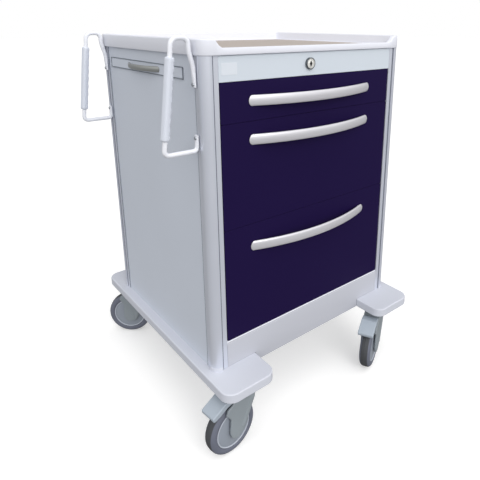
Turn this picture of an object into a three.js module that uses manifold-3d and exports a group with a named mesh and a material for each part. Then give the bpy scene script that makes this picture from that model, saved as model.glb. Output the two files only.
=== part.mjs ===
// Bedside cabinet on casters: three drawers on telescopic slides, a pull-out side shelf,
// two push handles, a cylinder lock and two braked casters.
// Millimetres, +Z up. While it is built, x = 0 is the body's left face, y = 0 its front face
// and z = 0 the floor. The last step moves the origin to the floor under the middle.
import * as THREE from "three";
import { mergeVertices } from "three/addons/utils/BufferGeometryUtils.js";
import Module from "manifold-3d";

const wasm = await Module();
wasm.setup();

// Driving dimensions of the body.
const WIDTH = 566;
const DEPTH = 490;
const BASE_LOW = 167;
const BASE_TOP = 190;
const BODY_TOP = 867.4;
const GAP = 0.3;
const SHEET = 1.5;

// Base plate with a pad at each corner.
const BASE = {
  side: 22, reach: 80, padInner: 108, padRadius: 28, innerRadius: 14, soft: 2.5, notch: 17, notchRadius: 3,
  skirtGap: 4, skirtLow: 168,
};

// Corner posts.
const POST = { size: 32, bulge: 18, centre: 15.5, groove: 2, grooveDepth: 2.5, wall: 11 };
const FIELD_LEFT = POST.size + GAP;
const FIELD_RIGHT = WIDTH - FIELD_LEFT;
const PANEL_INSET = 2;
const PANEL_SHEET = 2;

// Worktop tray.
const TRAY = { over: 5, top: 897.5, floor: 875, lip: 883, wall: 13, radius: 23, bumpFlat: 24, bumpFoot: 38 };

// Fascias, drawers and their slides.
const FACE_DEPTH = 16;
const TOP_FASCIA_LOW = 817.4;
const LOW_FASCIA_TOP = 254;
const FRONT_SIDE = 34;
const BOX = { side: 43, y0: FACE_DEPTH + GAP, y1: 450 };
const DRAWERS = [
  { name: "top", low: 737.5, high: 815.9, pull: 777.7, boxLow: 748, boxHigh: 800, rail: 772 },
  { name: "middle", low: 515.5, high: 734.5, pull: 698, boxLow: 526, boxHigh: 700, rail: 600 },
  { name: "bottom", low: 255.5, high: 512.5, pull: 462, boxLow: 266, boxHigh: 478, rail: 350 },
];
const PULL = { x: 280, length: 362, rise: 33, band: 5, height: 22 };
const RAIL = {
  web: 34, sheet: 2, lip: 42, innerHalf: 12, outerY: [20, 455], midY: [22, 450], barY: [30, 445],
  bracketY: [50, 400], bracketLong: 15, bracketHalf: 12,
};

// Pull-out side shelf.
const SHELF = { y0: 79.5, y1: 439.5, z0: 820.5, z1: 841.5, x0: 0.5, x1: 421, clearance: 1.7, skin: 3.5 };
const SHELF_PULL = { length: 164, rise: 20, band: 4, height: 12 };
const GUIDE = { x0: PANEL_INSET + PANEL_SHEET + GAP, x1: 445, wall: 11, floor: 2.2, top: 845 };

// Push handles: the tube's centre line in x, z with a bend radius at each corner.
const HANDLE = {
  tube: 4.75, fromFace: 26, steps: 40, sides: 8,
  line: [
    [-5.1, 816, 0], [-5.1, 846, 12], [-14, 876, 8], [-14, 900, 14], [-48.5, 900, 16],
    [-51, 872, 4], [-74.5, 688, 13], [-5.1, 688, 9], [-5.1, 716, 0],
  ],
  gripFrom: 5, gripLong: 152, gripRadius: 8.75, plate: [3, 13], plateTop: [807, 838], plateLow: [692, 722],
};

// Cylinder lock in the top fascia.
const LOCK = {
  x: 262, z: 843, bezel: 12, proud: 5, barrel: 9.5, plug: 8.1, running: 0.1, end: 18, cam: 18,
  camThick: 2, barHalf: 9, barY: [22, 25], barLow: 803, barHigh: 850,
};

// Casters: wheel, trailing fork and swivel stem.
const WHEEL = { radius: 62.5, half: 15, facets: 40, rim: 41 };
const FORK = { trail: 40, inner: 16.5, outer: 22.5, low: 128, high: 162.4, head: 27, eye: 21 };
const STEM = { radius: 8, running: 0.1, flange: 22, flangeThick: 4, low: 134 };
const AXLE = { radius: 5, running: 0.1, reach: 20.5 };
const ROUND = 24;
const CASTERS = [
  { name: "front_left", x: 55, y: -22, toward: [-0.994, -0.107], pedal: true },
  { name: "front_right", x: WIDTH - 55, y: -22, toward: [-0.897, -0.44], pedal: true },
  { name: "rear_left", x: 55, y: DEPTH + 22, toward: [-0.756, 0.654], pedal: false },
  { name: "rear_right", x: WIDTH - 55, y: DEPTH + 22, toward: [-0.62, 0.785], pedal: false },
];

function material(color, roughness, metalness) {
  return { color, roughness, metalness };
}

const FINISH = {
  shell: material(0xdfe3ea, 0.45, 0),
  panel: material(0xb6bfca, 0.5, 0.1),
  post: material(0xc4c9d3, 0.35, 0.7),
  fascia: material(0xd8dfe8, 0.45, 0.1),
  lowFascia: material(0xbfc0c8, 0.45, 0.1),
  drawer: material(0x20153e, 0.4, 0),
  pull: material(0xd2d5da, 0.3, 0.8),
  zinc: material(0xb9bcc2, 0.4, 0.8),
  chrome: material(0xe4e6ea, 0.15, 1),
  handle: material(0xe8eaee, 0.4, 0),
  grip: material(0xe4e6ea, 0.55, 0),
  fork: material(0x8f969c, 0.45, 0),
  hub: material(0x949ba6, 0.5, 0),
  tyre: material(0x3f424a, 0.85, 0),
  pedal: material(0xa9b3bb, 0.5, 0),
};

// A closed manifold from any closed three.js geometry, whichever way its faces were wound.
function solid(geometry) {
  const bare = geometry.index ? geometry.toNonIndexed() : geometry.clone();
  bare.deleteAttribute("normal");
  bare.deleteAttribute("uv");
  const welded = mergeVertices(bare, 1e-4);
  const p = welded.attributes.position;
  const index = welded.index.array;
  const corner = [0, 1, 2].map(() => new THREE.Vector3());
  const kept = [];
  let volume = 0;
  for (let i = 0; i < index.length; i += 3) {
    const [a, b, c] = [index[i], index[i + 1], index[i + 2]];
    if (a === b || b === c || a === c) continue;
    kept.push([a, b, c]);
    [a, b, c].forEach((v, k) => corner[k].fromBufferAttribute(p, v));
    volume += corner[0].dot(corner[1].cross(corner[2]));
  }
  const faces = volume < 0 ? kept.map(([a, b, c]) => [a, c, b]) : kept;
  const mesh = new wasm.Mesh({
    numProp: 3,
    vertProperties: new Float32Array(p.array),
    triVerts: new Uint32Array(faces.flat()),
  });
  return new wasm.Manifold(mesh);
}

function box(x0, x1, y0, y1, z0, z1) {
  const g = new THREE.BoxGeometry(x1 - x0, y1 - y0, z1 - z0);
  return solid(g.translate((x0 + x1) / 2, (y0 + y1) / 2, (z0 + z1) / 2));
}

// A closed outline from [x, y, corner radius] points.
function outline(points) {
  const shape = new THREE.Shape();
  const kappa = 0.5523;
  points.forEach(([x, y, r], i) => {
    const at = new THREE.Vector2(x, y);
    const before = new THREE.Vector2(...points[(i + points.length - 1) % points.length]).sub(at).normalize();
    const after = new THREE.Vector2(...points[(i + 1) % points.length]).sub(at).normalize();
    const inward = at.clone().addScaledVector(before, r);
    const outward = at.clone().addScaledVector(after, r);
    if (i === 0) shape.moveTo(inward.x, inward.y);
    else shape.lineTo(inward.x, inward.y);
    if (r > 0) {
      const c1 = inward.clone().lerp(at, kappa);
      const c2 = outward.clone().lerp(at, kappa);
      shape.bezierCurveTo(c1.x, c1.y, c2.x, c2.y, outward.x, outward.y);
    }
  });
  shape.closePath();
  return shape;
}

function rectangle(x0, x1, y0, y1, r) {
  return outline([[x0, y0, r], [x1, y0, r], [x1, y1, r], [x0, y1, r]]);
}

// Prisms: an outline carried along one axis, with softened end edges when soft > 0.
const LAY = {
  xy: (z) => new THREE.Matrix4().set(1, 0, 0, 0, 0, 1, 0, 0, 0, 0, 1, z, 0, 0, 0, 1),
  xz: (y) => new THREE.Matrix4().set(1, 0, 0, 0, 0, 0, 1, y, 0, 1, 0, 0, 0, 0, 0, 1),
  yz: (x) => new THREE.Matrix4().set(0, 0, 1, x, 1, 0, 0, 0, 0, 1, 0, 0, 0, 0, 0, 1),
};

function prism(plane, shape, from, to, { soft = 0, curve = 5 } = {}) {
  const g = new THREE.ExtrudeGeometry(shape, {
    depth: to - from - 2 * soft,
    curveSegments: curve,
    bevelEnabled: soft > 0,
    bevelThickness: soft,
    bevelSize: soft,
    bevelOffset: -soft,
    bevelSegments: 1,
  });
  return solid(g.translate(0, 0, soft).applyMatrix4(LAY[plane](from)));
}

// A solid of revolution about +Y from [radius, height] points.
function turned(points, segments) {
  return new THREE.LatheGeometry(points.map(([r, h]) => new THREE.Vector2(r, h)), segments);
}

function drum(axis, radius, from, to, a, b, segments = ROUND) {
  const g = turned([[0, from], [radius, from], [radius, to], [0, to]], segments);
  if (axis === "z") return solid(g.rotateX(Math.PI / 2)).translate([a, b, 0]);
  return solid(g).translate([a, 0, b]);
}

const group = new THREE.Group();
group.name = "bedside_cabinet";

function add(name, manifold, finish) {
  const found = manifold.getMesh();
  const g = new THREE.BufferGeometry();
  g.setAttribute("position", new THREE.BufferAttribute(new Float32Array(found.vertProperties), 3));
  g.setIndex(new THREE.BufferAttribute(new Uint32Array(found.triVerts), 1));
  g.computeVertexNormals();
  const mesh = new THREE.Mesh(g, new THREE.MeshStandardMaterial(finish));
  mesh.name = name;
  group.add(mesh);
}

// Base plate.
function basePlate() {
  const { side, reach, padInner, padRadius: r, innerRadius: q, soft, notch, notchRadius: n } = BASE;
  const far = WIDTH - padInner;
  const back = DEPTH + reach;
  const shape = outline([
    [-side, -reach, r], [padInner, -reach, r], [padInner, notch, n], [far, notch, n], [far, -reach, r],
    [WIDTH + side, -reach, r], [WIDTH + side, back, r], [far, back, r], [far, DEPTH, q],
    [padInner, DEPTH, q], [padInner, back, r], [-side, back, r],
  ]);
  return prism("xy", shape, BASE_LOW, BASE_TOP, { soft });
}

// One corner post: a round bulge, a little proud of both faces, between two grooves and a lip each way.
function post() {
  const { size, bulge, centre: c, groove, grooveDepth: d, wall } = POST;
  const past = Math.asin((bulge - c) / bulge);
  const shape = new THREE.Shape();
  shape.moveTo(size, 0);
  shape.lineTo(size, wall);
  shape.lineTo(bulge + groove + d, wall);
  shape.lineTo(wall, bulge + groove + d);
  shape.lineTo(wall, size);
  shape.lineTo(0, size);
  shape.lineTo(0, bulge + groove);
  shape.lineTo(d, bulge + groove);
  shape.lineTo(d, bulge);
  shape.absarc(c, c, bulge, Math.PI - past, 1.5 * Math.PI + past, false);
  shape.lineTo(bulge, d);
  shape.lineTo(bulge + groove, d);
  shape.lineTo(bulge + groove, 0);
  shape.closePath();
  return prism("xy", shape, BASE_TOP + GAP, BODY_TOP, { curve: 10 });
}

// Worktop tray with a lower front lip between two raised corners.
function tray() {
  const { over, top, floor, lip, wall, radius, bumpFlat, bumpFoot } = TRAY;
  const low = BODY_TOP + GAP;
  const outside = prism("xy", rectangle(-over, WIDTH + over, -over, DEPTH + over, radius), low, top, {
    soft: 1.5, curve: 7,
  });
  const well = rectangle(-over + wall, WIDTH + over - wall, -over + wall, DEPTH + over - wall, radius - wall / 2);
  const dip = outline([
    [bumpFoot, lip, 0], [WIDTH - bumpFoot, lip, 0], [WIDTH - bumpFlat, top + over, 0], [bumpFlat, top + over, 0],
  ]);
  const cut = prism("xz", dip, -2 * over, wall);
  return outside.subtract(prism("xy", well, floor, top + over)).subtract(cut);
}

// A folded sheet face, open at the back.
function pan(x0, x1, z0, z1, sheet) {
  const skin = prism("xz", rectangle(x0, x1, z0, z1, 1.5), 0, FACE_DEPTH, { soft: 0.8, curve: 2 });
  return skin.subtract(box(x0 + sheet, x1 - sheet, sheet, FACE_DEPTH + 1, z0 + sheet, z1 - sheet));
}

// Lower fascia: a folded face whose skirt comes down between the front pads, over the edge of the base.
function lowerFascia(low) {
  const [t0, t1] = [BASE.padInner + BASE.skirtGap, WIDTH - BASE.padInner - BASE.skirtGap];
  const shape = outline([
    [FIELD_LEFT, LOW_FASCIA_TOP, 1.5], [FIELD_RIGHT, LOW_FASCIA_TOP, 1.5], [FIELD_RIGHT, low, 1.5], [t1, low, 0],
    [t1, BASE.skirtLow, 1.5], [t0, BASE.skirtLow, 1.5], [t0, low, 0], [FIELD_LEFT, low, 1.5],
  ]);
  const hollow = (x0, x1, z0, z1) => box(x0 + SHEET, x1 - SHEET, SHEET, FACE_DEPTH + 1, z0 + SHEET, z1 - SHEET);
  return prism("xz", shape, 0, FACE_DEPTH, { soft: 0.8, curve: 2 })
    .subtract(hollow(FIELD_LEFT, FIELD_RIGHT, low, LOW_FASCIA_TOP))
    .subtract(hollow(t0, t1, BASE.skirtLow, low + 2 * SHEET + 1));
}

// A bowed band in the x, y plane, bulging to -y from a face at y = 0.
function bow({ length, rise, band, height }) {
  const half = length / 2;
  const radius = (half * half + rise * rise) / (2 * rise);
  const centre = radius - rise;
  const sweep = Math.asin(half / radius);
  const shape = new THREE.Shape();
  shape.absarc(0, centre, radius, -Math.PI / 2 - sweep, -Math.PI / 2 + sweep, false);
  shape.absarc(0, centre, radius - band, -Math.PI / 2 + sweep, -Math.PI / 2 - sweep, true);
  shape.closePath();
  const strip = prism("xy", shape, -height / 2, height / 2, { soft: 1, curve: 14 });
  const ends = prism("xz", rectangle(-half, half, -height / 2, height / 2, height / 2 - 0.01), -rise - 1, -GAP);
  return strip.intersect(ends);
}

// Telescopic slide members for the left-hand side; the right-hand ones are mirrored.
function outerRail(z) {
  const { web, sheet, lip, innerHalf, outerY, bracketY, bracketLong, bracketHalf } = RAIL;
  const half = innerHalf + 2 * sheet + 2 * GAP;
  const [y0, y1] = outerY;
  let rail = box(web, lip, y0, y1, z - half, z + half);
  rail = rail.subtract(box(web + sheet, lip + 1, y0 - 1, y1 + 1, z - half + sheet, z + half - sheet));
  bracketY.forEach((y) => {
    rail = rail.add(box(GUIDE.x0, web + sheet / 2, y, y + bracketLong, z - bracketHalf, z + bracketHalf));
  });
  return rail;
}

function midRail(z) {
  const { web, sheet, lip, innerHalf, midY } = RAIL;
  const half = innerHalf + sheet + GAP;
  const x0 = web + sheet + GAP;
  const channel = box(x0, lip, ...midY, z - half, z + half);
  return channel.subtract(box(x0 + sheet, lip + 1, midY[0] - 1, midY[1] + 1, z - half + sheet, z + half - sheet));
}

function mirrored(manifold) {
  return manifold.mirror([1, 0, 0]).translate([WIDTH, 0, 0]);
}

// Open drawer box with the inner slide member formed on each side.
function drawerBox({ boxLow, boxHigh, rail }) {
  const { side, y0, y1 } = BOX;
  const x1 = WIDTH - side;
  const inner = RAIL.web + 2 * RAIL.sheet + 2 * GAP;
  const bar = box(inner, side + SHEET / 2, ...RAIL.barY, rail - RAIL.innerHalf, rail + RAIL.innerHalf);
  const body = box(side, x1, y0, y1, boxLow, boxHigh).add(bar).add(mirrored(bar));
  return body.subtract(box(side + SHEET, x1 - SHEET, y0 + SHEET, y1 - SHEET, boxLow + SHEET, boxHigh + 1));
}

// Push handle: bent tube with a fixing plate at each end.
function bend(points) {
  const path = new THREE.CurvePath();
  const at = points.map(([x, z]) => new THREE.Vector3(x, 0, z));
  let last = at[0];
  for (let i = 1; i < at.length - 1; i += 1) {
    const r = points[i][2];
    const into = at[i - 1].clone().sub(at[i]).normalize().multiplyScalar(r).add(at[i]);
    const out = at[i + 1].clone().sub(at[i]).normalize().multiplyScalar(r).add(at[i]);
    path.add(new THREE.LineCurve3(last, into));
    path.add(new THREE.QuadraticBezierCurve3(into, at[i], out));
    last = out;
  }
  path.add(new THREE.LineCurve3(last, at[at.length - 1]));
  return path;
}

function circleShape(radius, sides) {
  const shape = new THREE.Shape();
  for (let i = 0; i < sides; i += 1) {
    const a = (2 * Math.PI * i) / sides;
    if (i === 0) shape.moveTo(radius, 0);
    else shape.lineTo(radius * Math.cos(a), radius * Math.sin(a));
  }
  shape.closePath();
  return shape;
}

function pushHandle() {
  const { tube, line, steps, sides, plate, plateTop, plateLow } = HANDLE;
  const [thick, wide] = plate;
  const swept = new THREE.ExtrudeGeometry(circleShape(tube, sides), {
    steps,
    bevelEnabled: false,
    extrudePath: bend(line),
  });
  const clip = box(-200, -GAP, -50, 50, 600, 950);
  let handle = solid(swept).intersect(clip);
  [plateTop, plateLow].forEach(([z0, z1]) => {
    handle = handle.add(prism("yz", rectangle(-wide / 2, wide / 2, z0, z1, 5), -thick - GAP, -GAP, { curve: 3 }));
  });
  return handle;
}

function pushGrip() {
  const { tube, line, gripFrom, gripLong, gripRadius } = HANDLE;
  const [top, foot] = [line[5], line[6]].map(([x, z]) => new THREE.Vector3(x, 0, z));
  const along = foot.clone().sub(top).normalize();
  const bore = tube + GAP;
  const sleeve = turned([
    [bore, 0], [gripRadius - 2, 0], [gripRadius, 2.5], [gripRadius, gripLong - 2.5],
    [gripRadius - 2, gripLong], [bore, gripLong], [bore, 0],
  ], 20);
  const lean = new THREE.Quaternion().setFromUnitVectors(new THREE.Vector3(0, 1, 0), along);
  const start = top.addScaledVector(along, gripFrom);
  return solid(sleeve.applyQuaternion(lean).translate(start.x, 0, start.z));
}

// Lock parts.
function lockHousing() {
  const { x, z, bezel, proud, barrel, plug, running, end } = LOCK;
  const shell = solid(turned([
    [0, -proud], [bezel - 1.5, -proud], [bezel, -proud + 1.5], [bezel, -GAP], [barrel, -GAP], [barrel, end], [0, end],
  ], ROUND));
  return shell.subtract(drum("y", plug + running, -proud - 1, end + 1, 0, 0)).translate([x, 0, z]);
}

function lockPlug() {
  const { x, z, proud, plug, end, cam, camThick } = LOCK;
  const body = drum("y", plug, -proud + 0.5, end + 0.5 + camThick, 0, 0);
  const arm = outline([[-6, -6, 5], [cam, -6, 5], [cam, 6, 5], [-6, 6, 5]]);
  const key = outline([[-1.6, 0, 0], [0, -3.8, 0], [1.6, 0, 0], [0, 3.8, 0]]);
  const hole = prism("xz", key, -proud - 1, 6);
  return body.add(prism("xz", arm, end + 0.5, end + 0.5 + camThick)).subtract(hole).translate([x, 0, z]);
}

// Side shelf and the pocket it slides in.
function sideShelf() {
  const { x0, x1, y0, y1, z0, z1, skin } = SHELF;
  const slab = prism("yz", rectangle(y0, y1, z0, z1, 3), x0, x1, { soft: 1, curve: 3 });
  return slab.subtract(box(x0 + 20, x1 - 8, y0 + 8, y1 - 8, z0 - 1, z1 - skin));
}

function shelfGuide() {
  const { x0, x1, wall, floor, top } = GUIDE;
  const { y0, y1, z0 } = SHELF;
  const outer = box(x0, x1, y0 - wall, y1 + wall, z0 - GAP - floor, top);
  return outer.subtract(box(x0 - 1, x1 - SHEET, y0 - GAP, y1 + GAP, z0 - GAP, top + 1));
}

// Caster parts, drawn with the swivel axis at the origin and the wheel trailing along +x.
function casterStem() {
  const { radius, flange, flangeThick, low } = STEM;
  const under = BASE_LOW - GAP;
  const g = turned([
    [0, low], [radius, low], [radius, under - flangeThick], [flange, under - flangeThick], [flange, under], [0, under],
  ], ROUND);
  return solid(g.rotateX(Math.PI / 2));
}

function casterFork() {
  const { trail, inner, outer, low, high, head, eye } = FORK;
  const axleZ = WHEEL.radius;
  const leg = new THREE.Shape();
  leg.moveTo(-head + 2, high - 22);
  leg.lineTo(-head + 9, low - 2);
  leg.absarc(trail - 9, axleZ + 1.5, eye, -0.8 * Math.PI, 0, false);
  leg.lineTo(trail + 12, 100);
  leg.lineTo(trail + 6, low - 2);
  leg.lineTo(trail - 2, high - 22);
  leg.closePath();
  const whole = prism("xz", leg, -outer, outer, { soft: 1, curve: 7 });
  const arch = box(-200, 200, -inner, inner, 0, low);
  const crown = turned([
    [0, low], [head - 2, low], [head, low + 2], [head, high - 14], [head - 5, high - 3], [head - 7, high], [0, high],
  ], 32);
  const bore = drum("z", STEM.radius + STEM.running, STEM.low - 1, high + 1, 0, 0);
  const socket = drum("y", AXLE.radius + AXLE.running, -AXLE.reach - GAP, AXLE.reach + GAP, trail, axleZ);
  return whole.subtract(arch).add(solid(crown.rotateX(Math.PI / 2))).subtract(bore).subtract(socket);
}

function hubWheel() {
  const { rim } = WHEEL;
  const side = [
    [0, AXLE.reach], [AXLE.radius, AXLE.reach], [AXLE.radius, 16.2], [13, 16.2], [15, 13], [35, 12.4],
    [37, 13.6], [rim - GAP, 13.6],
  ];
  const lower = side.map(([r, h]) => [r, -h]);
  return solid(turned([...lower, ...side.reverse()], ROUND)).translate([FORK.trail, 0, WHEEL.radius]);
}

function tyre() {
  const { radius, half, facets, rim } = WHEEL;
  const tip = radius / Math.cos(Math.PI / facets);
  const g = turned([
    [rim, -half + 1], [56, -half], [tip - 1.6, -half + 3], [tip, -half + 6], [tip, half - 6],
    [tip - 1.6, half - 3], [56, half], [rim, half - 1], [rim, -half + 1],
  ], facets);
  return solid(g.rotateY(Math.PI / facets)).translate([FORK.trail, 0, radius]);
}

function brakePedal() {
  const shape = outline([
    [41.5, 137, 3], [60, 134, 5], [80, 124, 5], [98, 119, 4], [101, 130, 4], [84, 138, 5], [62, 149, 5], [41.5, 150, 3],
  ]);
  return prism("xz", shape, -21, 21, { soft: 1.2, curve: 2 });
}

function aboutZ(manifold, { x, y, toward }) {
  const angle = THREE.MathUtils.radToDeg(Math.atan2(toward[1], toward[0]));
  return manifold.rotate([0, 0, angle]).translate([x, y, 0]);
}

// Assembly.
add("base_plate", basePlate(), FINISH.shell);
add("top_tray", tray(), FINISH.shell);
const corner = post();
const toRear = (m) => m.mirror([0, 1, 0]).translate([0, DEPTH, 0]);
add("post_front_left", corner, FINISH.post);
add("post_front_right", mirrored(corner), FINISH.post);
add("post_rear_left", toRear(corner), FINISH.post);
add("post_rear_right", mirrored(toRear(corner)), FINISH.post);

const panelLow = BASE_TOP + GAP;
const sidePanel = box(PANEL_INSET, PANEL_INSET + PANEL_SHEET, FIELD_LEFT, DEPTH - FIELD_LEFT, panelLow, BODY_TOP);
const slot = prism("yz", rectangle(
  SHELF.y0 - SHELF.clearance, SHELF.y1 + SHELF.clearance, SHELF.z0 - SHELF.clearance, SHELF.z1 + SHELF.clearance, 4,
), 0, 2 * POST.size, { curve: 3 });
add("side_panel_left", sidePanel.subtract(slot), FINISH.panel);
add("side_panel_right", mirrored(sidePanel), FINISH.panel);
const backY = DEPTH - PANEL_INSET;
add("back_panel", box(FIELD_LEFT, FIELD_RIGHT, backY - PANEL_SHEET, backY, panelLow, BODY_TOP), FINISH.panel);

const topFascia = pan(FIELD_LEFT, FIELD_RIGHT, TOP_FASCIA_LOW, BODY_TOP, SHEET);
add("top_fascia", topFascia.subtract(drum("y", LOCK.barrel + GAP, -1, 40, LOCK.x, LOCK.z)), FINISH.fascia);
add("lower_fascia", lowerFascia(panelLow), FINISH.lowFascia);
add("shelf_guide", shelfGuide(), FINISH.zinc);

[["front", HANDLE.fromFace], ["rear", DEPTH - HANDLE.fromFace]].forEach(([end, y]) => {
  add(`push_handle_${end}`, pushHandle().translate([0, y, 0]), FINISH.handle);
  add(`push_grip_${end}`, pushGrip().translate([0, y, 0]), FINISH.grip);
});

add("lock_housing", lockHousing(), FINISH.chrome);
add("lock_plug", lockPlug(), FINISH.chrome);
const { x: lockX, barHalf, barY, barLow, barHigh } = LOCK;
add("lock_bar", box(lockX - barHalf, lockX + barHalf, ...barY, barLow, barHigh), FINISH.zinc);

DRAWERS.forEach((drawer) => {
  const { name, low, high, pull, rail } = drawer;
  add(`drawer_front_${name}`, pan(FRONT_SIDE, WIDTH - FRONT_SIDE, low, high, SHEET), FINISH.drawer);
  add(`drawer_box_${name}`, drawerBox(drawer), FINISH.zinc);
  add(`drawer_pull_${name}`, bow(PULL).translate([PULL.x, 0, pull]), FINISH.pull);
  add(`rail_outer_${name}_left`, outerRail(rail), FINISH.zinc);
  add(`rail_outer_${name}_right`, mirrored(outerRail(rail)), FINISH.zinc);
  add(`rail_mid_${name}_left`, midRail(rail), FINISH.zinc);
  add(`rail_mid_${name}_right`, mirrored(midRail(rail)), FINISH.zinc);
});

add("side_shelf", sideShelf(), FINISH.shell);
const shelfMid = [SHELF.x0, (SHELF.y0 + SHELF.y1) / 2, (SHELF.z0 + SHELF.z1) / 2];
add("shelf_pull", bow(SHELF_PULL).rotate([0, 0, -90]).translate(shelfMid), FINISH.pull);

CASTERS.forEach((caster) => {
  add(`caster_stem_${caster.name}`, aboutZ(casterStem(), caster), FINISH.zinc);
  add(`caster_fork_${caster.name}`, aboutZ(casterFork(), caster), FINISH.fork);
  add(`caster_hub_${caster.name}`, aboutZ(hubWheel(), caster), FINISH.hub);
  add(`caster_tyre_${caster.name}`, aboutZ(tyre(), caster), FINISH.tyre);
  if (caster.pedal) add(`brake_pedal_${caster.name}`, aboutZ(brakePedal(), caster), FINISH.pedal);
});

// Origin to the floor under the middle of the whole cabinet.
const bounds = new THREE.Box3().setFromObject(group);
const centre = bounds.getCenter(new THREE.Vector3());
group.children.forEach((mesh) => mesh.geometry.translate(-centre.x, -centre.y, -bounds.min.z));

export default group;
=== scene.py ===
# Bedside cabinet on casters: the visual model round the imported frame. The scene is in metres; the
# helpers take millimetres in the body's own axes (x from the left face, y from the front face, z from
# the floor), and piece() carries them into the frame.
import math

import bmesh
import bpy
from mathutils import Matrix, Quaternion, Vector


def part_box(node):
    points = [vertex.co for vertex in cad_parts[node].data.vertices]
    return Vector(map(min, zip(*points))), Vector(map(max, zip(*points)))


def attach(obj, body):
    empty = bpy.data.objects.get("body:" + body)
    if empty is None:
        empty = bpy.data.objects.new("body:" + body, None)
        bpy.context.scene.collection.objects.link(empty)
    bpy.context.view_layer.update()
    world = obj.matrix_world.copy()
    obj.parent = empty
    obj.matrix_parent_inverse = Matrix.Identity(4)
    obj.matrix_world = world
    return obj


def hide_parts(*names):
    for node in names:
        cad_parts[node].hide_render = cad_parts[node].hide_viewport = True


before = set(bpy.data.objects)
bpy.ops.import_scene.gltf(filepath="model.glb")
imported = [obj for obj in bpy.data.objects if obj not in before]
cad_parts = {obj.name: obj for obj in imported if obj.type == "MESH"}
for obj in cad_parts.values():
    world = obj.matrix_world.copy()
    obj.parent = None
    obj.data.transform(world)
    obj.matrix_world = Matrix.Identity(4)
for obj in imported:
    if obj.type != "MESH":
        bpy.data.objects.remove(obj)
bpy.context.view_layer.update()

MM = 0.001
BASE_SIDE, BASE_REACH = 22.0, 80.0
base_low, base_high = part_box("base_plate")
ORIGIN = Vector((base_low[0] + BASE_SIDE * MM, base_low[1] + BASE_REACH * MM, 0.0))

# Sizes of the body, all in millimetres.
WIDTH, DEPTH = 566.0, 490.0
BASE_LOW, BASE_TOP = 167.0, 190.0
PAD = 108.0  # side of a corner pad, from the body's face inwards
BODY_TOP = 867.4
POST = 32.0
GAP = 0.3
FRONT_BACK = 15.8  # back of the fascias
PULL_X = 280.0
LOCK_X, LOCK_Z = 262.0, 843.0
# Drawer: the front's low and high edge, the pull's height and the box's low edge.
DRAWERS = {
    "top": (737.5, 815.9, 777.7, 748.0),
    "middle": (515.5, 734.5, 698.0, 526.0),
    "bottom": (255.5, 512.5, 462.0, 266.0),
}
# Caster: swivel axis x and y, then the direction its wheel trails in.
CASTERS = {
    "front_left": (55.0, -22.0, -0.994, -0.107),
    "front_right": (WIDTH - 55.0, -22.0, -0.897, -0.44),
    "rear_left": (55.0, DEPTH + 22.0, -0.756, 0.654),
    "rear_right": (WIDTH - 55.0, DEPTH + 22.0, -0.62, 0.785),
}
TRAIL, WHEEL_R = 40.0, 62.5


# ---------------------------------------------------------------- materials

DRIFT_DETAIL, GRAIN_DETAIL = 4.0, 3.0
BUMP_DEPTH = 0.001  # metres

def linear(rgb):
    """8-bit sRGB to linear with alpha."""
    out = [c / 255 / 12.92 if c <= 10 else ((c / 255 + 0.055) / 1.055) ** 2.4 for c in rgb]
    return (*out, 1.0)


def surface(name, rgb, rough, metal=0.0, grain=(900.0, 0.04), mottle=(9.0, 0.05), rough_span=0.08,
            stretch=(1, 1, 1), specular=None):
    """A procedural finish: fine grain in the bump, slow drift in colour and roughness.

    grain is (scale, bump strength), mottle is (scale, share of the colour), and a stretch below 1
    draws the grain out along that axis.
    """
    mat = bpy.data.materials.new(name)
    mat.use_nodes = True
    nodes, links = mat.node_tree.nodes, mat.node_tree.links
    shader = nodes["Principled BSDF"]
    shader.inputs["Metallic"].default_value = metal
    if specular is not None:
        shader.inputs["Specular IOR Level"].default_value = specular
    place = nodes.new("ShaderNodeTexCoord")
    mapping = nodes.new("ShaderNodeMapping")
    mapping.inputs["Scale"].default_value = stretch
    links.new(place.outputs["Object"], mapping.inputs["Vector"])

    def noise(scale, detail, source):
        node = nodes.new("ShaderNodeTexNoise")
        node.inputs["Scale"].default_value = scale
        node.inputs["Detail"].default_value = detail
        links.new(source, node.inputs["Vector"])
        return node.outputs["Fac"]

    mottle_scale, mottle_share = mottle
    drift = noise(mottle_scale, DRIFT_DETAIL, place.outputs["Object"])
    base = linear(rgb)
    mix = nodes.new("ShaderNodeMix")
    mix.data_type = "RGBA"
    mix.inputs["A"].default_value = (*[c * (1 - mottle_share) for c in base[:3]], 1)
    mix.inputs["B"].default_value = (*[min(1, c * (1 + mottle_share)) for c in base[:3]], 1)
    links.new(drift, mix.inputs["Factor"])
    links.new(mix.outputs["Result"], shader.inputs["Base Color"])

    spread = nodes.new("ShaderNodeMapRange")
    spread.inputs["To Min"].default_value = max(0.02, rough - rough_span)
    spread.inputs["To Max"].default_value = min(1.0, rough + rough_span)
    links.new(drift, spread.inputs["Value"])
    links.new(spread.outputs["Result"], shader.inputs["Roughness"])

    grain_scale, grain_strength = grain
    fine = noise(grain_scale, GRAIN_DETAIL, mapping.outputs["Vector"])
    bump = nodes.new("ShaderNodeBump")
    bump.inputs["Strength"].default_value = grain_strength
    bump.inputs["Distance"].default_value = BUMP_DEPTH
    links.new(fine, bump.inputs["Height"])
    links.new(bump.outputs["Normal"], shader.inputs["Normal"])
    return mat


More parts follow.
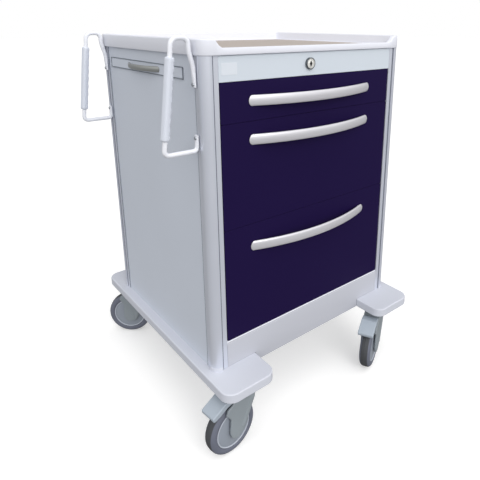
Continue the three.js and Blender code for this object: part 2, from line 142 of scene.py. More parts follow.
MAT = {
    "shell": surface("moulded_white", (229, 231, 240), 0.42, grain=(1400, 0.05), mottle=(7, 0.02),
                     specular=0.3),
    # The base colour below is the shell's white moulding darkened as painted shade, for light falling off
    # near the floor.
    "base": surface("base_moulding_painted_shade", (206, 209, 219), 0.44, grain=(1400, 0.05), mottle=(7, 0.02),
                    specular=0.3),
    "mat_floor": surface("beige_liner", (180, 170, 163), 0.62, grain=(700, 0.12), mottle=(16, 0.05)),
    "panel": surface("powder_grey", (205, 211, 222), 0.5, grain=(1100, 0.10), mottle=(5, 0.03),
                     specular=0.2),
    "post": surface("anodised", (214, 218, 229), 0.34, 0.45, grain=(900, 0.03), mottle=(6, 0.02),
                    stretch=(1, 1, 0.1)),
    # The groove colour below is a dark colour laid in the posts' grooves as painted shade.
    "groove": surface("groove_painted_shade", (98, 102, 118), 0.6, grain=(600, 0.1)),
    # The dark grey below is painted shade in the gaps round the shelf and at the post seams.
    "gap_shade": surface("gap_shade_grey", (126, 134, 144), 0.6, grain=(600, 0.1)),
    "fascia": surface("powder_light", (208, 216, 225), 0.45, grain=(1100, 0.08), mottle=(5, 0.02),
                      specular=0.25),
    # The lower fascia: the fascia's paint darkened as painted shade, for light that falls off lower down.
    "fascia_painted_shade": surface("powder_light_painted_shade", (187, 189, 198), 0.47, grain=(1100, 0.08), mottle=(5, 0.02),
                          specular=0.25),
    "drawer": surface("indigo_paint", (28, 17, 60), 0.5, grain=(1300, 0.05), mottle=(4, 0.05),
                      specular=0.06),
    "pull": surface("satin_silver", (219, 218, 223), 0.36, 0.5, grain=(900, 0.02), rough_span=0.03,
                    stretch=(0.1, 1, 1)),
    "shelf_pull": surface("satin_steel", (166, 168, 166), 0.32, 0.7, grain=(900, 0.02), rough_span=0.03,
                          stretch=(1, 0.1, 1)),
    "zinc": surface("zinc_plate", (176, 180, 186), 0.38, 0.85, grain=(420, 0.08), mottle=(30, 0.08)),
    "box": surface("drawer_grey", (190, 194, 200), 0.5, 0.1, grain=(1000, 0.08), mottle=(8, 0.03)),
    # The bezel's chrome is darkened as painted shade.
    "chrome": surface("polished", (104, 108, 112), 0.2, 1.0, grain=(300, 0.02)),
    "lock_face": surface("lock_face", (236, 236, 232), 0.3, 0.3, grain=(900, 0.05)),
    # The keyway's near-black is painted shade of the keyhole.
    "keyhole_shade": surface("keyway_painted_shade", (22, 22, 24), 0.6, grain=(900, 0.05)),
    "handle": surface("white_enamel", (234, 236, 243), 0.34, grain=(1200, 0.03), mottle=(12, 0.02)),
    "grip": surface("soft_grip", (214, 219, 230), 0.55, grain=(1500, 0.12), mottle=(12, 0.02)),
    "fork": surface("caster_grey", (144, 152, 158), 0.46, grain=(1300, 0.09), mottle=(14, 0.05)),
    "hub": surface("hub_grey", (147, 154, 165), 0.42, grain=(1300, 0.06), mottle=(18, 0.04)),
    # The raised hub ring, made lighter than the hub as a painted highlight.
    "hub_ring_highlight": surface("hub_rim_painted_highlight", (192, 198, 208), 0.38, grain=(1300, 0.05), mottle=(18, 0.04)),
    "tyre": surface("grey_rubber", (104, 108, 122), 0.6, grain=(900, 0.14), mottle=(22, 0.08),
                    rough_span=0.12),
    "tread": surface("tread_rubber", (70, 72, 76), 0.64, grain=(900, 0.2), mottle=(22, 0.10),
                     rough_span=0.12),
    "pedal": surface("pedal_grey", (168, 178, 189), 0.44, grain=(1300, 0.09), mottle=(14, 0.04)),
    "label": surface("label_film", (217, 223, 231), 0.3, grain=(800, 0.02)),
}


# ---------------------------------------------------------------- mesh helpers

WELD, SLIVER = 1e-4, 1e-5  # points closer than this are one point
EDGE_ANGLE = 35.0  # edges sharper than this are eased
SCREW_SIDES = 24


def piece(name, bm, mat, body, replaces=(), bevel=0.0, steps=3, angle=32.0, place=None):
    """Turns a bmesh in body millimetres into a shown piece that rides on a CAD body."""
    bmesh.ops.remove_doubles(bm, verts=bm.verts, dist=WELD)
    bmesh.ops.recalc_face_normals(bm, faces=bm.faces)
    if place is not None:
        bm.transform(place)
    bm.transform(Matrix.Translation(ORIGIN) @ Matrix.Scale(MM, 4))
    mesh = bpy.data.meshes.new(name)
    bm.to_mesh(mesh)
    bm.free()
    mesh.shade_smooth()
    mesh.set_sharp_from_angle(angle=math.radians(angle))
    mesh.materials.append(MAT[mat])
    obj = bpy.data.objects.new(name, mesh)
    bpy.context.scene.collection.objects.link(obj)
    if bevel:
        soften(obj, bevel, steps)
    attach(obj, body)
    if replaces:
        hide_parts(*replaces)
    return obj


def soften(obj, width, steps=2):
    """Rounds the hard edges of an object."""
    mod = obj.modifiers.new("soft_edges", "BEVEL")
    mod.width = width * MM
    mod.segments = steps
    mod.limit_method = "ANGLE"
    mod.angle_limit = math.radians(EDGE_ANGLE)
    mod.harden_normals = True
    mod.use_clamp_overlap = True


def rounded(points, steps=8):
    """A closed outline from (x, y, radius) corners."""
    out = []
    count = len(points)
    for i, (x, y, r) in enumerate(points):
        here = Vector((x, y))
        if r <= 0:
            out.append(here)
            continue
        back = (Vector(points[i - 1][:2]) - here).normalized()
        ahead = (Vector(points[(i + 1) % count][:2]) - here).normalized()
        half = math.acos(max(-1, min(1, back.dot(ahead)))) / 2
        run = r / math.tan(half)
        centre = here + (back + ahead).normalized() * (r / math.sin(half))
        a, b = here + back * run - centre, here + ahead * run - centre
        turn = math.atan2(a.x * b.y - a.y * b.x, a.dot(b))
        for k in range(steps + 1):
            t = turn * k / steps
            c, s = math.cos(t), math.sin(t)
            out.append(centre + Vector((a.x * c - a.y * s, a.x * s + a.y * c)))
    return out


def oblong(x0, x1, y0, y1, r, steps=8):
    """The outline of a rectangle with rounded corners."""
    return rounded([(x0, y0, r), (x1, y0, r), (x1, y1, r), (x0, y1, r)], steps)


# Puts an outline's point p into a plane, at distance d along the axis the plane leaves out.
AXES = {
    "xy": lambda p, d: (p.x, p.y, d),
    "xz": lambda p, d: (p.x, d, p.y),
    "yz": lambda p, d: (d, p.x, p.y),
}


def prism(shape, low, high, plane="xy", bm=None):
    """An outline carried from low to high along the axis the plane leaves out."""
    bm = bm or bmesh.new()
    rings = [[bm.verts.new(AXES[plane](p, d)) for p in shape] for d in (low, high)]
    bm.faces.new(rings[0])
    bm.faces.new(rings[1])
    for i in range(len(shape)):
        j = (i + 1) % len(shape)
        bm.faces.new((rings[0][i], rings[0][j], rings[1][j], rings[1][i]))
    return bm


def flat(*points):
    """An outline from plain (x, y) points."""
    return [Vector(p) for p in points]


def slab(x0, x1, y0, y1, z0, z1, bm=None):
    """A thin strip with square edges."""
    return prism(flat((x0, y0), (x1, y0), (x1, y1), (x0, y1)), z0, z1, bm=bm)


def rings_to_mesh(rings):
    """Skins a list of equal rings of points and closes both ends."""
    bm = bmesh.new()
    made = [[bm.verts.new(p) for p in ring] for ring in rings]
    for a, b in zip(made, made[1:]):
        for i in range(len(a)):
            j = (i + 1) % len(a)
            bm.faces.new((a[i], a[j], b[j], b[i]))
    bm.faces.new(made[0])
    bm.faces.new(made[-1])
    return bm


def lathe(profile, segments=64, axis="y", bm=None):
    """Turns (radius, height) points about an axis; points on the axis close the form."""
    bm = bm or bmesh.new()

    def spot(r, h, a):
        c, s = r * math.cos(a), r * math.sin(a)
        return {"y": (c, h, s), "z": (c, s, h)}[axis]

    columns = [
        [bm.verts.new(spot(r, h, 2 * math.pi * k / segments)) for r, h in profile] for k in range(segments)
    ]
    for k in range(segments):
        a, b = columns[k], columns[(k + 1) % segments]
        for i in range(len(profile) - 1):
            bm.faces.new((a[i], a[i + 1], b[i + 1], b[i]))
    bmesh.ops.remove_doubles(bm, verts=bm.verts, dist=WELD)
    bmesh.ops.dissolve_degenerate(bm, edges=bm.edges, dist=SLIVER)
    return bm


def arc(cx, cy, r, start, stop, steps):
    """Points of an arc in (radius, height) or any plane; angles in degrees."""
    return [
        (cx + r * math.cos(math.radians(start + (stop - start) * k / steps)),
         cy + r * math.sin(math.radians(start + (stop - start) * k / steps)))
        for k in range(steps + 1)
    ]


def sweep(path, section):
    """Carries a ring function section(i, n) -> [(u, v)] along 3-D points with a steady frame."""
    path = [Vector(p) for p in path]
    count = len(path)
    side = Vector((0, 1, 0))
    rings = []
    for i, p in enumerate(path):
        ahead = (path[min(i + 1, count - 1)] - path[max(i - 1, 0)]).normalized()
        side = (side - ahead * side.dot(ahead)).normalized()
        up = side.cross(ahead)
        rings.append([p + side * u + up * v for u, v in section(i, count)])
    return rings_to_mesh(rings)


def smooth_path(points, step):
    """A polyline with its corners rounded, as evenly spaced points. Points are (x, z, radius)."""
    line = rounded_open(points)
    out = [line[0]]
    for a, b in zip(line, line[1:]):
        n = max(1, int((b - a).length / step))
        out += [a.lerp(b, k / n) for k in range(1, n + 1)]
    return out


def rounded_open(points, steps=10):
    """An open line whose inner corners are quadratic curves."""
    out = [Vector(points[0][:2])]
    for i in range(1, len(points) - 1):
        here = Vector(points[i][:2])
        back = (Vector(points[i - 1][:2]) - here).normalized()
        ahead = (Vector(points[i + 1][:2]) - here).normalized()
        a, b = here + back * points[i][2], here + ahead * points[i][2]
        for k in range(steps + 1):
            t = k / steps
            out.append(a * (1 - t) ** 2 + here * (2 * t * (1 - t)) + b * t ** 2)
    out.append(Vector(points[-1][:2]))
    return out


def join(bm, part):
    """Moves the solid in one bmesh into another."""
    hold = bpy.data.meshes.new("joined_part")
    part.to_mesh(hold)
    part.free()
    bm.from_mesh(hold)
    bpy.data.meshes.remove(hold)


def screw(bm, centre, outward, radius, height):
    """A pan-head screw, added to a bmesh: a short straight rim under a rounded edge."""
    rim, curve = height * 0.45, height * 0.55
    part = lathe(
        [(0, 0), (radius, 0), (radius, rim)] + arc(radius - curve, rim, curve, 0, 90, 4) + [(0, height)],
        SCREW_SIDES, "z",
    )
    spin = Vector((0, 0, 1)).rotation_difference(Vector(outward)).to_matrix().to_4x4()
    part.transform(Matrix.Translation(Vector(centre)) @ spin)
    join(bm, part)


def fused(name, bm, voxel, relax, keep):
    """Welds overlapping solids into one moulded skin with soft inside corners, then thins its mesh."""
    mesh = bpy.data.meshes.new(name)
    bmesh.ops.remove_doubles(bm, verts=bm.verts, dist=WELD)
    bmesh.ops.recalc_face_normals(bm, faces=bm.faces)
    bm.to_mesh(mesh)
    bm.free()
    obj = bpy.data.objects.new(name, mesh)
    bpy.context.scene.collection.objects.link(obj)
    remesh = obj.modifiers.new("weld", "REMESH")
    remesh.mode = "VOXEL"
    remesh.voxel_size = voxel
    ease = obj.modifiers.new("ease", "SMOOTH")
    ease.factor = 0.5
    ease.iterations = relax
    thin = obj.modifiers.new("thin", "DECIMATE")
    thin.ratio = keep
    done = bmesh.new()
    depsgraph = bpy.context.evaluated_depsgraph_get()
    depsgraph.update()
    done.from_object(obj, depsgraph)
    bpy.data.objects.remove(obj)
    return done


def tint(node, mat, bevel):
    """A CAD node that stays: its finish, and its edges eased."""
    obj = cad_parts[node]
    obj.data.materials.clear()
    obj.data.materials.append(MAT[mat])
    soften(obj, bevel)


# ---------------------------------------------------------------- body

POST_ROUND = 15.5  # centre of the corner's round, from either face
# The dark strip in each post groove, painted shade: its span across the face, then its depth.
GROOVE_SHADE_ALONG, GROOVE_SHADE_DEPTH = (18.2, 21.0), (-0.15, 2.55)


def base_plate():
    """A plate with a pad at each corner, and a recess between the pads at the front and back."""
    left, right, front, rear = -BASE_SIDE, WIDTH + BASE_SIDE, -BASE_REACH, DEPTH + BASE_REACH
    far = WIDTH - PAD
    recess = 17.0
    outer, inner, sharp, hollow = 28, 26, 3, 14  # corner radii
    shape = rounded([
        (left, front, outer), (PAD, front, inner), (PAD, recess, sharp),
        (far, recess, sharp), (far, front, inner), (right, front, outer),
        (right, rear, outer), (far, rear, inner), (far, DEPTH, hollow),
        (PAD, DEPTH, hollow), (PAD, rear, inner), (left, rear, outer),
    ], 12)
    # The moulding's darker colour is painted shade.
    piece("base_moulding_painted_shade", prism(shape, BASE_LOW, BASE_TOP), "base", "cabinet", ["base_plate"],
          bevel=3.6, steps=5)


def post_outline():
    """A quarter-round bulge at the corner, a groove on each side of it, and two flanges."""
    bulge_end, centre, groove, depth, wall = 18.0, POST_ROUND, 2.0, 2.6, 11.0
    land = bulge_end + groove
    ease, lip = 0.4, 0.5
    past = math.degrees(math.asin((bulge_end - centre) / bulge_end))
    bulge = flat(*arc(centre, centre, bulge_end, 180 - past, 270 + past, 26))
    return [
        *flat((POST, ease), (POST, wall), (land + depth, wall), (wall, land + depth), (wall, POST)),
        *flat((ease, POST), (0, POST - ease), (0, land + lip), (lip, land), (depth, land)),
        Vector((depth, bulge_end)),
        *bulge,
        *flat((bulge_end, depth), (land, depth), (land, lip), (land + lip, 0), (POST - ease, 0)),
    ]


def corner_matrix(right, rear):
    """Mirrors a front left corner's form to another corner."""
    flip = Matrix.Diagonal((-1 if right else 1, -1 if rear else 1, 1, 1))
    return Matrix.Translation((WIDTH if right else 0, DEPTH if rear else 0, 0)) @ flip


def posts():
    for rear in (False, True):
        for right in (False, True):
            tag = f"{'rear' if rear else 'front'}_{'right' if right else 'left'}"
            turn = corner_matrix(right, rear)
            bm = prism(post_outline(), BASE_TOP + GAP, BODY_TOP)
            piece(f"post_skin_{tag}", bm, "post", "cabinet", [f"post_{tag}"], place=turn, angle=25)
            shade_low, shade_high = BASE_TOP + 0.5, BODY_TOP - 0.2
            # Dark strips fill both grooves as painted shade.
            for k, sides in enumerate((GROOVE_SHADE_ALONG + GROOVE_SHADE_DEPTH, GROOVE_SHADE_DEPTH + GROOVE_SHADE_ALONG)):
                strip = slab(*sides, shade_low, shade_high)
                piece(f"post_groove_shade_{tag}_{k}", strip, "groove", "cabinet", place=turn)
            # A dark strip where the post meets the panel: painted shade in the seam.
            seam = slab(-0.12, 0.9, POST - 0.5, POST + 0.8, shade_low, shade_high)
            piece(f"post_seam_shade_{tag}", seam, "gap_shade", "cabinet", place=turn)
            outline = flat(*arc(POST_ROUND, POST_ROUND, 18.9, 172, 278, 24), (18.6, 4), (4, 18.6))
            foot = prism(outline, BASE_TOP - 0.6, BASE_TOP + 9.0)
            # The foot takes the base colour, darkened as painted shade.
            piece(f"post_foot_{tag}", foot, "base", "cabinet", bevel=0.8, place=turn)


def tray():
    """Rimmed top: one profile carried round the edge, its height dipping along the front."""
    over, top, floor, lip, radius = 5.0, 897.5, 875.0, 881.4, 23.0
    low = BODY_TOP + GAP
    x0, x1, y0, y1 = -over, WIDTH + over, -over, DEPTH + over
    outer, inner = 2.8, 2.2  # radii of the rim's top edges
    outer_start, inner_start = 0.5, 10.4

    def wave(degrees):
        return math.sin(math.radians(degrees)), math.cos(math.radians(degrees))

    # The profile as (inset, height), from under the rim over its top and down to the floor.
    profile = [(1.6, low), (0.6, low + 0.5), (0.0, low + 1.8)]
    for s, c in map(wave, range(0, 91, 15)):
        profile.append((outer_start + outer * (1 - c), top - outer + outer * s))
    profile.append((inner_start, top))
    for s, c in map(wave, range(15, 91, 25)):
        profile.append((inner_start + inner * s, top - inner + inner * c))
    profile += [(13.2, floor + 3.2), (13.8, floor + 1.4), (15.2, floor + 0.3), (17.0, floor)]

    dip = (lip - floor) / (top - floor)
    corner, ramp, front = 22.0, 17.0, 20.0  # where the front dip starts, its run, and its reach back

    def height(x, y, z):
        if z <= floor + 2 or y >= front:
            return z
        near = min(x, WIDTH - x)
        t = max(0.0, min(1.0, (near - corner) / ramp))
        return floor + (z - floor) * (1 - (1 - dip) * (t * t * (3 - 2 * t)))

    long_side, cuts = 60, 72
    rings = []
    for inset, z in profile:
        r = max(radius - inset, 2.0)
        corners = oblong(x0 + inset, x1 - inset, y0 + inset, y1 - inset, r, 12)
        ring = []
        for a, b in zip(corners, corners[1:] + corners[:1]):
            n = cuts if (b - a).length > long_side else 1
            ring += [a.lerp(b, k / n) for k in range(n)]
        rings.append([Vector((p.x, p.y, height(p.x, p.y, z))) for p in ring])
    piece("tray_moulding", rings_to_mesh(rings), "shell", "cabinet", ["top_tray"], angle=40)
    edge = 13.5
    liner = prism(oblong(edge, WIDTH - edge, edge, DEPTH - edge, 7), floor - 0.5, floor + 0.9)
    piece("tray_liner", liner, "mat_floor", "cabinet", bevel=0.5, steps=2)


def panels():
    for node in ("side_panel_left", "side_panel_right", "back_panel"):
        tint(node, "panel", 0.5)
    bm = bmesh.new()
    inset, sunk = 70.0, 2.0
    for x in (inset, WIDTH - inset):
        for z in (240.0, 530.0, 820.0):
            screw(bm, (x, DEPTH - sunk, z), (0, 1, 0), radius=4.0, height=2.0)
    piece("back_screws", bm, "zinc", "cabinet")


def fascias():
    """The lock's fascia with its blank label, and the lower fascia, whose tab drops between the pads."""
    left, right = POST + GAP, WIDTH - POST - GAP
    bm = prism(oblong(left, right, 817.6, 867.1, 1.5, 3), 0, FRONT_BACK, "xz")
    piece("fascia_top_face", bm, "fascia", "cabinet", ["top_fascia"], bevel=1.2)
    plate = prism(oblong(38, 74, 831, 854, 1.5, 4), -0.4, 0.2, "xz")

    tab_left, tab_right, tab_low = PAD + 1, WIDTH - PAD - 1, 168
    low, high = BASE_TOP + GAP, 253.8
    shape = rounded([
        (left, high, 1.5), (left, low, 0.5), (tab_left, low, 0.5), (tab_left, tab_low, 2),
        (tab_right, tab_low, 2), (tab_right, low, 0.5), (right, low, 0.5), (right, high, 1.5),
    ], 3)
    chamfer = 6.0, 3.6  # down the front, and back along the top
    rings = [[Vector((p.x, 0, min(p.y, high - chamfer[0]))) for p in shape]]
    rings += [[Vector((p.x, y, p.y)) for p in shape] for y in (chamfer[1], FRONT_BACK)]
    # Its paint is the fascia's, darkened as painted shade.
    piece("fascia_low_face", rings_to_mesh(rings), "fascia_painted_shade", "cabinet", ["lower_fascia"],
          bevel=0.8)
    # A white strip over the lower fascia's chamfer: a painted highlight where the edge faces the top
    # light.
    strip = flat((-0.05, 247.5), (0.5, 247.3), (3.9, 253.3), (3.4, 253.7))
    edge = prism(strip, left + 0.6, right - 0.6, "yz")
    piece("fascia_low_painted_highlight", edge, "shell", "cabinet")
    piece("label_blank", plate, "label", "cabinet", bevel=0.2, steps=2)


# ---------------------------------------------------------------- drawers, pulls, lock, shelf

def bow_pull(name, length, rise, band, height, mat, body, node, place):
    """A bowed band with a domed face and rounded ends."""
    half = length / 2
    radius = (half * half + rise * rise) / (2 * rise)
    centre = radius - rise
    sweep_angle = math.asin(half / radius)
    steps, sides = 64, 24
    crown = 1.3  # how far the face stands out at mid height
    round_off = height * 0.4  # length of each rounded end
    end_power, tall_power, out_power = 2.6, 0.45, 0.6  # squareness of the ends and of the section
    rings = []
    for k in range(steps + 1):
        t = -math.cos(math.pi * k / steps)
        a = sweep_angle * t
        along = radius * math.sin(a)
        end = max(0.0, abs(along) - (half - round_off)) / round_off
        tall = height / 2 * max(0.2, max(0.0, 1 - end ** end_power) ** (1 / end_power))
        ring = []
        for m in range(sides):
            w = 2 * math.pi * m / sides
            c, s = math.cos(w), math.sin(w)
            z = tall * math.copysign(abs(s) ** tall_power, s)
            out = band / 2 * math.copysign(abs(c) ** out_power, c)
            dome = crown * (1 - (z / (height / 2)) ** 2) if c > 0 else 0.0
            r = radius - band / 2 - crown + out + dome
            y = min(centre - r * math.cos(a), -GAP)
            ring.append(Vector((r * math.sin(a), y, z)))
        rings.append(ring)
    piece(name, rings_to_mesh(rings), mat, body, [node], place=place, angle=50)


def drawers():
    side_gap, past = 2, 1.2  # the visible fronts reach a little past the CAD's low and high edges
    for name, (low, high, pull, box_low) in DRAWERS.items():
        body = f"drawer_{name}"
        shape = oblong(POST + side_gap, WIDTH - POST - side_gap, low - past, high + past, 3.4, 6)
        piece(f"front_{name}", prism(shape, 0.9, 15.9, "xz"), "drawer", body,
              [f"drawer_front_{name}"], bevel=0.5, steps=2)
        bow_pull(f"pull_{name}", 360, 32.6, 5, 22, "pull", body, f"drawer_pull_{name}",
                 Matrix.Translation((PULL_X, 0, pull)))
        tint(f"drawer_box_{name}", "box", 0.4)
        box_floor = box_low + 1.5
        liner = prism(oblong(46, WIDTH - 46, 19.5, 446.5, 4, 4), box_floor + 0.1, box_floor + 2.1)
        piece(f"liner_{name}", liner, "mat_floor", body, bevel=0.5, steps=2)
        for side in ("left", "right"):
            tint(f"rail_outer_{name}_{side}", "zinc", 0.3)
            tint(f"rail_mid_{name}_{side}", "zinc", 0.3)


def lock():
    """A cam lock: chrome bezel with a bright rim, a plug with its cam, and a diamond keyway; the bezel's
    dark colour and the keyway's dark diamond are painted shade.
    """
    face_y, end = -5.4, 17.5  # front of the bezel, and back of its sleeve
    bore, sleeve = 8.25, 9.5  # radii
    place = Matrix.Translation((LOCK_X, 0, LOCK_Z))
    ring = lathe(
        [(bore, end), (bore, face_y + 1.4), (10.3, face_y + 1.0), (10.5, face_y + 0.2)]
        + arc(11.4, face_y + 1.2, 1.2, -110, 0, 8)
        + [(12.6, -GAP), (sleeve, -GAP), (sleeve, end), (bore, end)],
        72,
    )
    piece("lock_bezel", ring, "chrome", "cabinet", ["lock_housing"], place=place, angle=40)
    plug = lathe([
        (0, face_y + 0.5), (7.3, face_y + 0.5), (8.0, face_y + 0.9), (8.05, face_y + 2), (8.05, end + 1),
        (0, end + 1),
    ])
    cam = rounded([(-6, -6, 5), (18, -6, 5), (18, 6, 5), (-6, 6, 5)], 5)
    join(plug, prism(cam, end + 1, end + 2.9, "xz"))
    piece("lock_plug_face", plug, "lock_face", "lock_cylinder", ["lock_plug"],
          place=place, angle=30)
    # The keyway is a flat dark diamond just proud of the plug face: painted shade where the keyhole is.
    half_wide, half_tall = 3.9, 7.2
    diamond = flat((-half_wide, 0), (0, -half_tall), (half_wide, 0), (0, half_tall))
    key = prism(diamond, face_y + 0.3, face_y + 1.6, "xz")
    piece("lock_keyway", key, "keyhole_shade", "lock_cylinder", place=place)
    inner, outer, front, back = 8.5, 10.2, face_y + 0.4, face_y + 1.2
    rim = lathe([(inner, back), (inner, front), (outer, front), (outer, back), (inner, back)], 72)
    piece("lock_rim", rim, "lock_face", "cabinet", place=place, angle=30)
    tint("lock_bar", "zinc", 0.4)


def side_shelf():
    """The pull-out shelf and its pull, with a thin dark strip round its slot that paints the shade in the
    gap.
    """
    outline = oblong(79.5, 439.5, 820.5, 841.5, 3.2, 5)
    piece("shelf_slab", prism(outline, 0.7, 420.6, "yz"), "panel", "side_shelf", ["side_shelf"],
          bevel=1.0, steps=2)
    place = Matrix.Translation((0.5, 259.5, 831)) @ Matrix.Rotation(-math.pi / 2, 4, "Z")
    bow_pull("shelf_bow", 162.6, 19.6, 4, 12, "shelf_pull", "side_shelf", "shelf_pull", place)
    front, rear, low, high, wide = 78.0, 442.0, 819.0, 843.0, 1.2
    # A thin dark frame round the slot: painted shade in the gap.
    bm = bmesh.new()
    for y0, y1, z0, z1 in (
        (front, rear, low, low + wide), (front, rear, high - wide, high),
        (front, front + wide, low, high), (rear - wide, rear, low, high),
    ):
        slab(-0.25, 0.9, y0, y1, z0, z1, bm)
    piece("shelf_gap_shade", bm, "gap_shade", "cabinet")
    tint("shelf_guide", "zinc", 0.4)


# ---------------------------------------------------------------- push handles

# The tube's centre line from the upper flat to the lower one: x, height and corner run.
HANDLE_LINE = [
    (-5.1, 810, 0), (-5.1, 846, 12), (-14, 876, 8), (-14, 900, 14), (-48.5, 900, 16),
    (-51, 872, 4), (-74.5, 688, 13), (-5.1, 688, 9), (-5.1, 719, 0),
]
HANDLE_IN = 26.0  # from the body's front or back face to the tube
TUBE_R, TUBE_SIDES = 4.7, 20
GRIP_LONG, GRIP_R, GRIP_START, GRIP_STEPS, GRIP_SIDES = 152, 8.7, 5, 96, 28
GRIP_TURN = math.radians(19)
GRIP_SQUARE, SQUARE_FIT = 3.4, 1.13  # power of the rounded square, and its size against a circle
WAVE_DEEP, WAVE_LONG, WAVE_FROM = 1.15, 19.0, 9


def push_handles():
    """Two bent tubes with flattened ends, each with a scalloped grip sleeve and two screws."""
    line = smooth_path(HANDLE_LINE, 4.0)
    top = Vector((HANDLE_LINE[5][0], 0, HANDLE_LINE[5][1]))
    along = (Vector((HANDLE_LINE[6][0], 0, HANDLE_LINE[6][1])) - top).normalized()

    def tube(i, n):
        end = min(i, n - 1 - i)
        squash = max(0.0, 1 - end / 7.0)
        wide, thick = TUBE_R + 1.8 * squash, TUBE_R - 2.4 * squash
        angles = (2 * math.pi * k / TUBE_SIDES for k in range(TUBE_SIDES))
        return [(wide * math.cos(a), thick * math.sin(a)) for a in angles]

    def sleeve(i, n):
        t = i / (n - 1)
        edge = min(t, 1 - t) * GRIP_LONG
        r = GRIP_R - 2.2 * max(0.0, 1 - edge / 3.0) ** 2
        wave = 0.0
        if WAVE_FROM < edge:
            wave = WAVE_DEEP * (0.5 - 0.5 * math.cos(2 * math.pi * edge / WAVE_LONG))
        ring = []
        for k in range(GRIP_SIDES):
            a = 2 * math.pi * k / GRIP_SIDES
            inner = max(0.0, math.cos(a + math.pi / 2)) ** 2
            c, s = math.cos(a), math.sin(a)
            turned = a - GRIP_TURN
            square = abs(math.cos(turned)) ** GRIP_SQUARE + abs(math.sin(turned)) ** GRIP_SQUARE
            size = (r - wave * inner) * min(1.0, square ** (-1 / GRIP_SQUARE) / SQUARE_FIT)
            ring.append((size * c, size * s))
        return ring

    for end, y in (("front", HANDLE_IN), ("rear", DEPTH - HANDLE_IN)):
        bm = sweep([(p.x, y, p.y) for p in line], tube)
        piece(f"handle_tube_{end}", bm, "handle", "cabinet", [f"push_handle_{end}"], angle=45)
        start = Vector((top.x, y, top.z)) + along * GRIP_START
        bm = sweep([start + along * (GRIP_LONG * k / GRIP_STEPS) for k in range(GRIP_STEPS + 1)], sleeve)
        piece(f"handle_grip_{end}", bm, "grip", "cabinet", [f"push_grip_{end}"], angle=45)
        bm = bmesh.new()
        for z in (815.0, 713.0):
            screw(bm, (-7.2, y, z), (-1, 0, 0), radius=3.7, height=2.4)
        piece(f"handle_screws_{end}", bm, "zinc", "cabinet")


# ---------------------------------------------------------------- casters

LEG_IN, LEG_OUT, RIB_IN, RIB_OUT = 16.6, 22.4, 21.5, 24.0  # the fork's legs and ribs, off its middle
PEDAL_HALF = 20.8
TREAD_SEGMENTS, DISC_SEGMENTS = 96, 72


def caster_place(x, y, ax, ay):
    return Matrix.Translation((x, y, 0)) @ Matrix.Rotation(math.atan2(ay, ax), 4, "Z")


def fork_form():
    """Two legs under a domed housing, moulded as one."""
    leg = rounded([
        (-25, 141, 4), (-19, 126, 8), (12, 56, 12), (21, 44, 10), (34, 39, 12), (49, 43, 12), (55, 60, 12),
        (52, 98, 12), (64.5, 114, 4), (60, 126, 4), (46, 132, 4), (37, 141, 5),
    ], 6)
    bm = bmesh.new()
    for a, b in ((LEG_IN, LEG_OUT), (-LEG_OUT, -LEG_IN)):
        prism(leg, a, b, "xz", bm)
    housing = [
        (0, 129), (25, 129), (26.8, 132), (26.8, 147), (25, 154), (21.5, 159.5), (20, 162.2), (0, 162.2),
    ]
    lathe(housing, 40, "z", bm)
    crown = rounded([(-24, 129, 2), (39, 129, 2), (37, 141, 4), (20, 152, 6), (-20, 152, 6)], 4)
    prism(crown, -22.2, 22.2, "xz", bm)
    rib = rounded([(-17, 124, 3), (-6, 124, 3), (23, 60, 4), (16, 57, 4)], 4)
    for a, b in ((RIB_IN, RIB_OUT), (-RIB_OUT, -RIB_IN)):
        prism(rib, a, b, "xz", bm)
    return fused("fork_form", bm, voxel=1.25, relax=5, keep=0.5)


def pedal_form():
    side = rounded([
        (42, 137.6, 2), (60, 134.4, 4), (80, 124.4, 4), (97.5, 119.4, 4), (100.6, 130, 5), (84, 137.8, 8),
        (62, 148.6, 6), (42, 149.6, 3),
    ], 5)
    return prism(side, -PEDAL_HALF, PEDAL_HALF, "xz")


def hub_form():
    """A dished disc, wider than the CAD's so that it meets the tyre's side wall."""
    half = [
        (0, 15.2), (9, 15.2), (11, 14.6), (12, 13.4), (25, 13.3), (36.0, 13.0), (41.0, 12.3), (42.0, 11.8),
        (46.4, 11.8),
    ]
    return lathe(half + [(r, -h) for r, h in reversed(half)], DISC_SEGMENTS)


def rim_form():
    """The raised ring on each side of the hub."""
    radius, bead, foot = 44.4, 1.4, 11.4
    bm = bmesh.new()
    for side in (1, -1):
        dome = [(r, side * h) for r, h in arc(radius, 12.3, bead, 180, 0, 8)]
        start = (radius - bead, side * foot)
        lathe([start] + dome + [(radius + bead, side * foot), start], DISC_SEGMENTS, bm=bm)
    return bm


def mirrored(half):
    """A closed lathe outline from its upper half, which runs from the inside out."""
    return half + [(r, -h) for r, h in reversed(half[1:-1])] + [half[0]]


def tyre_form():
    """The tyre's side walls and shoulders, with a channel for the tread."""
    half = [
        (46.2, 0), (46.2, 12.4), (46.9, 13.6), (48.5, 14.4), (50.5, 14.8), (53, 14.8), (55.5, 14.3),
        (57.9, 13.2), (59.8, 11.6), (61.0, 9.9), (61.3, 9.0), (59.4, 8.8), (59.2, 8.6), (59.2, 0),
    ]
    return lathe(mirrored(half), TREAD_SEGMENTS)


def tread_form():
    """The crowned running band, with a fine line round its middle."""
    half = [
        (58.6, 0), (58.6, 8.7), (61.1, 8.7), (61.7, 8.1), (62.1, 6.2), (62.4, 3.0), (62.45, 0.35),
        (62.6, 0.2), (62.6, 0),
    ]
    return lathe(mirrored(half), TREAD_SEGMENTS)


